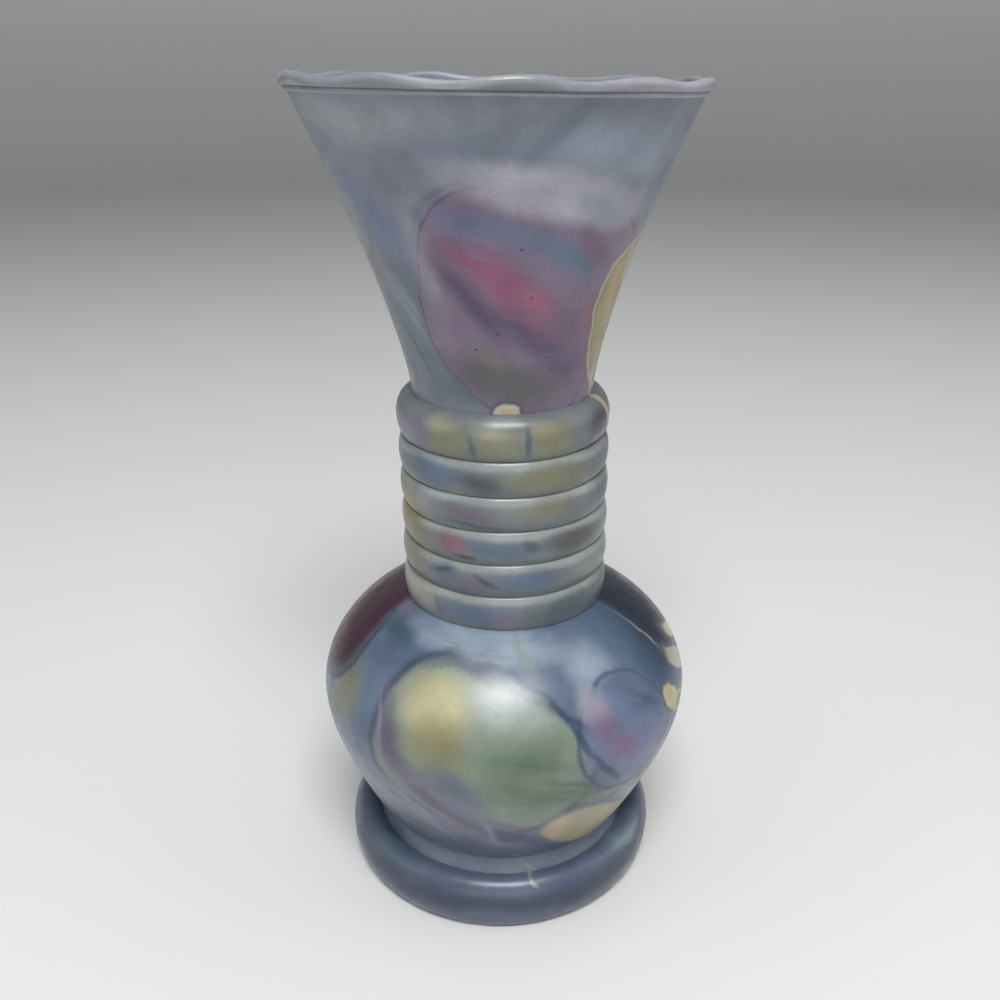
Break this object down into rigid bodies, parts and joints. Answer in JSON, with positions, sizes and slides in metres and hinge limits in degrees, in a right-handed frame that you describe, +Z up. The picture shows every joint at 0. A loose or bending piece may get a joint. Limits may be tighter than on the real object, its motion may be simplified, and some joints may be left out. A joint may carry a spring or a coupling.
{
  "type": "blown glass vase",
  "caption": "Footed blown glass vase: round painted bowl, ringed neck and tall flared trumpet with a ruffled lip.",
  "frame": {"origin": "centre of the standing ring, on the surface the vase stands on", "axes": "+Z up along the vase's axis, towards the lip; -Y is the front, where the largest painted patches are"},
  "size_m": [0.0962, 0.0962, 0.203],
  "materials": {
    "foot_glass": "satin painted",
    "bowl_glass": "satin painted",
    "neck_glass": "satin painted",
    "trumpet_glass": "satin painted",
    "lip_glass": "satin"
  },
  "bodies": {
    "root": {"foot_disc": "foot_glass", "foot_roll": "foot_glass", "bowl": "bowl_glass", "neck_tube": "neck_glass", "neck_ring_1": "neck_glass", "neck_ring_2": "neck_glass", "neck_ring_3": "neck_glass", "neck_ring_4": "neck_glass", "neck_ring_5": "neck_glass", "neck_collar": "neck_glass", "trumpet": "trumpet_glass", "lip_thread": "lip_glass", "lip_wrap": "lip_glass"}
  },
  "joints": []
}
